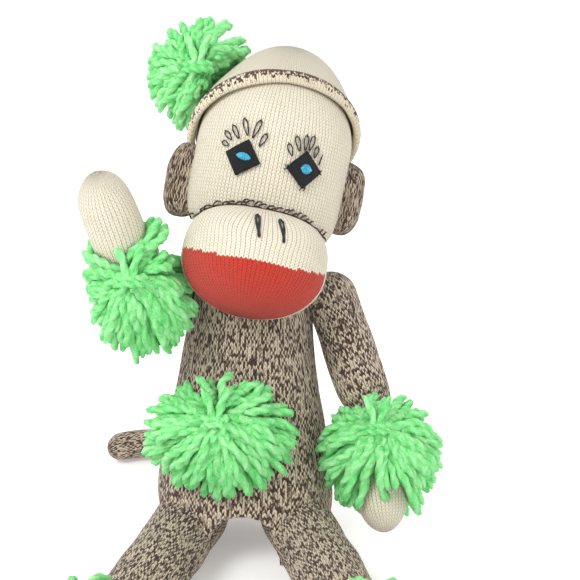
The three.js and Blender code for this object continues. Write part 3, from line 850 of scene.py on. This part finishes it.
def twisted(name, stops, relief, root=None):
    """Spun yarn: colour by strand, with painted shade between its plies and, given a root colour, painted
    shade at its root.
    """
    made, start, shader = cloth(name)
    ply = start.node("ShaderNodeAttribute", {}, output=2, attribute_name="ply")
    along = start.node("ShaderNodeAttribute", {}, output=2, attribute_name="along")
    tint = start.node("ShaderNodeAttribute", {}, output=2, attribute_name="tint")
    fibre = grain(start, 1400)
    wool = grain(start, 300)
    # Painted shade: a strand is darker where its plies meet. The fibre, wool and tint terms are random
    # tone.
    light = ply * 0.14 + 0.45 + (fibre - 0.5) * 0.8 + (wool - 0.5) * 0.5 + (tint - 0.5) * 0.22
    colour = start.node("ShaderNodeValToRGB", {0: light}, stops=stops)
    # Painted shade: near its root a strand is blended towards the darker root colour.
    if root:
        near = (1 - along * 2.2).held()
        colour = (near * 0.75).blend(colour, (*dyed(*root), 1))
    finished(start, shader, colour, ply * 0.35 + fibre * 0.8 + wool * 0.7, relief)
    return made


green_stops = [(0.1, dyed(72, 196, 92)), (0.42, dyed(128, 228, 136)), (0.78, dyed(182, 244, 178))]
# The deep green root colour is painted shade where the strands crowd together at the tie.
green_yarn = twisted("green yarn", green_stops, 0.0012, root=(40, 148, 56))
green_tie = twisted("green tie yarn", green_stops, 0.0012)
brown_stops = [(0.2, dyed(40, 26, 24)), (0.8, dyed(104, 78, 66))]
black_stops = [(0.2, dyed(16, 15, 17)), (0.8, dyed(58, 54, 56))]
blue_stops = [(0.2, dyed(24, 130, 168)), (0.8, dyed(96, 204, 232))]
dark_thread = twisted("brown thread", brown_stops, 0.0003)
black_floss = twisted("black floss", black_stops, 0.0003)
blue_floss = twisted("blue floss", blue_stops, 0.0003)

# Pom-poms: strands of green wool, tied across the middle and sewn down by the same tie.
# Each falls open from its tie in a soft ball of cut ends, and only the tie is in loops.
strand_thickness = 0.0052
strand_points = 16
strand_count = 165
least_reach = 0.94  # of a strand, against the pom-pom's half size


def pom(name, body, middle, half, tie, facing, near_pieces):
    """A pom-pom of half size half about middle, tied at tie, open towards facing."""
    graph = bpy.context.evaluated_depsgraph_get()
    trees = []
    for near in near_pieces:
        trees.append(cap_outside if near == "cap" else BVHTree.FromObject(skins[near], graph))

    def clear(point, room):
        """The point, moved out of the pieces near it."""
        for tree in trees:
            spot, normal, _, _ = tree.find_nearest(point, 0.05)
            if spot is not None:
                outward = (point - spot).dot(normal)
                if outward < room:
                    point = spot + normal * room
        return point

    strands = []
    tries = 0
    while len(strands) < strand_count and tries < 4000:
        tries += 1
        way = Vector([random.gauss(0, 1) for _ in range(3)]).normalized()
        if way.dot(facing) < -0.45 or (way.z > 0.55 and random.random() < 0.5):
            continue
        reach = least_reach + 0.12 * random.random()
        end = middle + Vector([way[i] * half[i] for i in range(3)]) * reach
        end = clear(end, strand_thickness * (0.6 + 2 * random.random()))
        start_spot = tie + Vector([random.gauss(0, 0.0025) for _ in range(3)])
        span = (end - start_spot).length
        bulge = facing * (0.004 + 0.012 * random.random()) + Vector((0, 0, 0.010 * random.random()))
        bend = start_spot.lerp(end, 0.5) + bulge * min(1.0, span / 0.04)
        line = []
        wave = Vector([random.gauss(0, 0.0012) for _ in range(3)])
        for i in range(strand_points + 1):
            t = i / strand_points
            point = start_spot.lerp(bend, t).lerp(bend.lerp(end, t), t)
            point = point + wave * math.sin(t * 6.3)
            line.append(clear(point, strand_thickness * 0.55) if t > 0.12 else point)
        strands.append(line)
    yarn = spun(name + "_strands", strands, strand_thickness, green_yarn, hairs=14)
    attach(yarn, body)
    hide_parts(name + "_yarn")

    across = facing.cross(Vector((0, 0, 1)))
    across = across.normalized() if across.length > 0.1 else Vector((1, 0, 0))
    rise = across.cross(facing).normalized()
    ring_middle = tie + facing * 0.0035
    loops = []
    for lift in (-0.0018, 0.0018):
        loop = []
        for i in range(19):
            angle = math.radians(200 * i / 18 - 10)
            out = across * 0.0085 * math.cos(angle) + facing * (0.0055 * math.sin(angle))
            loop.append(ring_middle + out + rise * lift)
        loops.append(loop)
    for sense in (-1, 1):
        tail_end = ring_middle + rise * 0.020 + across * sense * 0.008 + facing * 0.006
        knee_spot = ring_middle + rise * 0.006 + facing * 0.009
        root = ring_middle + across * sense * 0.003 + facing * 0.004
        loops.append(curved(root, knee_spot, tail_end, 8))
    knot = spun(name + "_knot", loops, strand_thickness * 0.95, green_tie)
    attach(knot, body)
    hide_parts(name + "_tie")


forward = Vector((0, -0.94, 0.34)).normalized()
wrist_l = arms["l"]["wrist"]
wrist_r = arms["r"]["wrist"]
belly = torso_frame @ Vector((-0.015, -0.047, 0.061))
cap_tip = head_frame @ Vector((-0.056, 0.026, 0.116))
pom("wrist_pom_l", "forearm_l", wrist_l + Vector((0.005, -0.015, -0.023)), (0.040, 0.024, 0.040),
    wrist_l + Vector((0.001, -0.029, 0.004)), forward, ["arm_l", "hand_l"])
pom("wrist_pom_r", "forearm_r", wrist_r + Vector((0.005, 0, -0.004)), (0.035, 0.023, 0.043),
    wrist_r + Vector((0.002, -0.022, 0.008)), forward, ["arm_r", "hand_r", "muzzle"])
for tag, ankle in ankles.items():
    pom(f"ankle_pom_{tag}", f"lower_leg_{tag}", ankle + Vector((0, 0, 0.015)), (0.039, 0.032, 0.027),
        ankle + Vector((0, 0, 0.039)), Vector((0, 0, 1)), [f"leg_{tag}", f"foot_{tag}"])
pom("belly_pom", "torso", belly + Vector((0, 0, 0.001)), (0.048, 0.024, 0.040),
    belly + Vector((-0.001, -0.014, 0.020)), forward, ["torso"])
pom("cap_pom", "head", cap_tip, (0.036, 0.034, 0.040),
    cap_tip + Vector((0, -0.030, 0.010)), forward, ["head", "cap"])

# Eyes: squares of black felt set on a corner, each with a blue pupil in satin stitch.
# Six looped stitches of black floss stand above each as lashes.
eye_height = 0.059
eye_apart = 0.039
felt_side = 0.0170
felt_thick = 0.0015
felt_lift = 0.0009  # of its back, off the face
corner_swing = math.degrees(0.10)  # of a corner's stitches, to each side of it
felt, start, shader = cloth("black felt")
fibres = grain(start, 1500, 4.0)
felt_stops = [(0.35, dyed(7, 7, 9)), (0.8, dyed(32, 30, 36))]
felt_colour = start.node("ShaderNodeValToRGB", {0: fibres}, stops=felt_stops)
finished(start, shader, felt_colour, fibres, 0.0006)

eye_turns = {"l": 49, "r": 35}
# Each lash: the direction and distance of its foot from the eye's middle, and of its top, in
# degrees and millimetres.
lash_loops = {
    "r": [(150, 13.0, 153, 18.0), (134, 14.1, 136, 21.3), (113, 12.3, 119, 21.7), (87, 14.0, 99, 24.4),
          (73, 13.4, 74, 25.4), (43, 12.2, 54, 20.6)],
    "l": [(144, 11.5, 133, 18.5), (116, 11.8, 114, 21.0), (99, 12.0, 96, 21.2), (85, 12.6, 83, 22.0),
          (59, 10.4, 68, 17.2), (28, 10.8, 46, 15.6)],
}
# Each pupil: how far across and up from the middle, and how wide and tall.
pupil_shapes = {"r": (0.0010, 0.0004, 0.0078, 0.0050), "l": (0.0006, 0.0006, 0.0060, 0.0060)}


def polar(degrees, distance):
    angle = math.radians(degrees)
    return Vector((math.cos(angle), math.sin(angle))) * distance


for side, tag in ((1, "l"), (-1, "r")):
    middle = side * eye_apart / 2
    turn = math.radians(eye_turns[tag])

    bpy.ops.object.select_all(action="DESELECT")
    bpy.ops.mesh.primitive_grid_add(x_subdivisions=16, y_subdivisions=16, size=felt_side)
    patch_piece = bpy.context.object
    patch_piece.name = f"eye_{tag}"
    for vertex in patch_piece.data.vertices:
        x = vertex.co.x + 0.0003 * noise.noise(vertex.co * 700 + Vector((side, 0, 0)))
        y = vertex.co.y + 0.0003 * noise.noise(vertex.co * 700 + Vector((0, side, 5)))
        around = middle + x * math.cos(turn) - y * math.sin(turn)
        vertex.co = on_head(around, eye_height + x * math.sin(turn) + y * math.cos(turn), felt_lift)
    bpy.ops.object.mode_set(mode="EDIT")
    bpy.ops.mesh.select_all(action="SELECT")
    bpy.ops.mesh.normals_make_consistent(inside=False)
    bpy.ops.object.mode_set(mode="OBJECT")
    outward = on_head(middle, eye_height, 0.001) - on_head(middle, eye_height, 0)
    if patch_piece.data.polygons[100].normal.dot(outward) < 0:
        patch_piece.data.flip_normals()
    thick = patch_piece.modifiers.new("thick", "SOLIDIFY")
    thick.thickness = felt_thick
    thick.offset = 1
    bpy.ops.object.modifier_apply(modifier="thick")
    soft = patch_piece.modifiers.new("soft", "BEVEL")
    soft.width = 0.0004
    soft.segments = 2
    soft.limit_method = "ANGLE"
    bpy.ops.object.modifier_apply(modifier="soft")
    bpy.ops.object.shade_smooth_by_angle(angle=math.radians(50))
    patch_piece.data.materials.append(felt)
    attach(patch_piece, "head")
    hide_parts(f"eye_felt_{tag}")

    across, up, width, tall = pupil_shapes[tag]
    satin = []
    rows = int(width / 0.0007)
    for i in range(rows + 1):
        x = (i / rows - 0.5) * width
        half = tall / 2 * math.sqrt(max(0.05, 1 - (2 * x / width) ** 2))
        low = -half if tag == "l" else -half * 0.75 - x * 0.12
        high = half if tag == "l" else half - x * 0.12
        run = []
        for k in range(9):
            y = low + (high - low) * k / 8
            lift = felt_lift + felt_thick + 0.0007 * math.sin(math.pi * k / 8)
            run.append(on_head(middle + across + x, eye_height + up + y, lift))
        satin.append(run)
    pupil = spun(f"pupil_stitches_{tag}", satin, 0.0011, blue_floss, turn=35)
    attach(pupil, "head")
    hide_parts(f"pupil_{tag}")

    loops = []
    for number, (base_angle, base, tip_angle, tip) in enumerate(lash_loops[tag]):
        foot_spot = polar(base_angle, base / 1000)
        top_spot = polar(tip_angle, tip / 1000)
        run_way = top_spot - foot_spot
        sideways = Vector((-run_way.y, run_way.x)).normalized()
        wide = 0.0 if (tag == "l" and number == 5) else 0.0016
        loop = []
        for k in range(25):
            t = 2 * math.pi * k / 24
            share = 0.5 - 0.5 * math.cos(t)
            bow = math.sin(t) * wide * (0.45 + 0.75 * share)
            spot = foot_spot + run_way * share + sideways * bow
            loop.append(on_head(middle + spot.x, eye_height + spot.y, 0.0011))
        loops.append(loop)
        tie_end = top_spot + run_way.normalized() * 0.0011
        loops.append([on_head(middle + p.x, eye_height + p.y, 0.0013)
                      for p in (top_spot - run_way.normalized() * 0.0007, top_spot, tie_end)])
    # Small stitches hold the left eye's felt down at its corners.
    corners = range(4) if tag == "l" else ()
    for quarter in corners:
        for swing in (-corner_swing, corner_swing):
            stitch = []
            for distance, lift in ((0.0095, 0.0026), (0.0112, 0.0028), (0.0132, 0.0008)):
                spot = polar(eye_turns[tag] + 45 + 90 * quarter + swing, distance)
                stitch.append(on_head(middle + spot.x, eye_height + spot.y, lift))
            loops.append(stitch)
    lashes = spun(f"lash_stitches_{tag}", loops, 0.0008, black_floss, turn=40)
    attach(lashes, "head")
    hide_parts(f"lashes_{tag}")

# Nostrils: one long looped stitch of black floss on each side, near the top of the muzzle.
# Each is a loop above that narrows downwards, and the right one leans inwards.
nostril_apart = 0.0092  # of each, from their middle
nostril_shift = 0.003  # of both, to the left
nostril_lift = 0.0006
lower_ends = {"l": 0.0015, "r": 0.0045}
for side, tag in ((1, "l"), (-1, "r")):
    loop = []
    for k in range(29):
        t = 2 * math.pi * k / 28
        share = 0.5 - 0.5 * math.cos(t)
        lean = math.radians(10 + 29 * share)
        bow = math.sin(t) * 0.0019 * (0.1 + 1.3 * share ** 2)
        sideways = side * nostril_apart + nostril_shift + lower_ends[tag] * (1 - share) + bow
        around = sideways / muzzle_half.y
        place = Vector((
            (muzzle_half.x + nostril_lift) * math.cos(lean) * math.sin(around),
            -(muzzle_half.y + nostril_lift) * math.cos(lean) * math.cos(around),
            (muzzle_half.z + nostril_lift) * math.sin(lean),
        ))
        loop.append(muzzle_frame @ place)
    nostril = spun(f"nostril_stitch_{tag}", [loop], 0.0015, black_floss, turn=40)
    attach(nostril, "head")
    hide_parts(f"nostril_{tag}")

# Muzzle seam: brown thread whipped over the edge where the muzzle meets the face.
# The stitches slant, and about a third of the places have none.
# They are on the face, at the edge of what the muzzle covers or hides from the main view.
inverse_muzzle = muzzle_frame.inverted()
muzzle_skin = skin_tree(muzzle)
seam_middle = -0.005  # the height that the directions round the muzzle are taken from


def past_muzzle(place, lift):
    """Whether a place is outside the muzzle's oval."""
    local = inverse_muzzle @ place
    halves = (muzzle_half.x, muzzle_half.y if local.y < 0 else muzzle_back, muzzle_half.z)
    return sum((local[i] / (halves[i] + lift)) ** 2 for i in range(3)) > 1


def seam_spot(degrees, lift):
    """Where face and muzzle meet, in a direction round the muzzle."""
    angle = math.radians(degrees)
    far = 0.075
    while far > 0.02:
        place = on_head(far * math.cos(angle), far * math.sin(angle) + seam_middle, lift)
        outlook = (lens_place - place).normalized()
        if not past_muzzle(place, lift) or muzzle_skin.ray_cast(place, outlook)[0]:
            break
        far -= 0.0003
    return far * math.cos(angle), far * math.sin(angle) + seam_middle


whips = []
stitch_count = 34
running = []
for i in range(stitch_count + 1):
    degrees = 21 + 139 * i / stitch_count
    x, z = seam_spot(degrees, 0.0012)
    running.append(on_head(x, z + 0.0005 + 0.0004 * math.sin(i * 2.1), 0.0016))
    if random.random() < 0.35:
        continue
    slant = 0.0026 + 0.0016 * random.random()
    tall = 0.0020 + 0.0022 * random.random()
    low = on_head(x - slant * 0.5, z - 0.0004, 0.0028)
    high = on_head(x + slant, z + tall, 0.0008)
    crest = on_head(x - slant * 0.1, z + tall * 1.2, 0.0036)
    whips.append(curved(low, crest, high, 8))
whips.append(running)
seam = spun("muzzle_whip_stitches", whips, 0.0011, dark_thread, turn=40)
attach(seam, "head")
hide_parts("muzzle_seam_thread")

# Neck thread: two turns of brown thread that draw the neck in under the head.
wraps = []
for turn_number in range(2):
    level = 0.0028 + 0.0014 * turn_number
    ring_radius = math.sqrt(neck_radius ** 2 - level ** 2) + 0.0007
    wraps.append([
        neck_frame @ Vector((ring_radius * math.cos(a), ring_radius * math.sin(a), level))
        for a in (2 * math.pi * k / 48 for k in range(49))
    ])
wrap = spun("neck_wrap", wraps, 0.0014, dark_thread, turn=40)
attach(wrap, "neck")
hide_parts("neck_gathering_thread")

# Shoulder seams: each arm's closed end is whipped to the torso by a ring of small stitches.
# Each stitch leans round the ring as it runs from the arm to the torso.
stitch_path = ((0.0128, 0.0128), (0.0118, 0.0142), (0.0102, 0.0150), (0.0085, 0.0160))
for tag, arm in arms.items():
    side = arm_poses[tag]["side"]
    rings = []
    for k in range(16):
        angle = 2 * math.pi * k / 16
        ring = []
        for step, (reach, depth) in enumerate(stitch_path):
            swirl = angle + 0.13 * step
            spot = Vector((-side * depth, reach * math.cos(swirl), reach * math.sin(swirl)))
            ring.append(arm["seam_frame"] @ spot)
        rings.append(ring)
    sewn = spun(f"shoulder_stitches_{tag}", rings, 0.0012, dark_thread, turn=40)
    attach(sewn, f"shoulder_{tag}")
    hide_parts(f"shoulder_seam_thread_{tag}")

# Stage: a plain pale floor, and broad soft lights from the upper left, the right and behind.
bpy.ops.object.select_all(action="DESELECT")
bpy.ops.mesh.primitive_plane_add(size=14, location=(0, 0, 0))
floor = bpy.context.object
floor.name = "floor"
paint = bpy.data.materials.new("pale floor")
paint.use_nodes = True
shader = paint.node_tree.nodes["Principled BSDF"]
shader.inputs["Base Color"].default_value = (0.9, 0.9, 0.9, 1)
shader.inputs["Roughness"].default_value = 0.8
shader.inputs["Emission Color"].default_value = (1, 1, 1, 1)
shader.inputs["Emission Strength"].default_value = 0.24
floor.data.materials.append(paint)

world = bpy.data.worlds.new("soft room")
bpy.context.scene.world = world
world.use_nodes = True
world.node_tree.nodes["Background"].inputs["Color"].default_value = (1, 1, 1, 1)
world.node_tree.nodes["Background"].inputs["Strength"].default_value = 0.86
for name, place, power, size in (
    ("key", (-0.9, -1.1, 1.6), 26, 0.9),
    ("fill", (1.3, -0.9, 0.8), 5, 1.4),
    ("back", (0.2, 1.4, 1.3), 7, 1.2),
):
    bpy.ops.object.light_add(type="AREA", location=place)
    lamp = bpy.context.object
    lamp.name = name
    lamp.data.energy = power
    lamp.data.size = size
    lamp.rotation_euler = (Vector((0, 0.05, 0.17)) - lamp.location).to_track_quat("-Z", "Y").to_euler()
bpy.context.scene.view_settings.view_transform = "Standard"
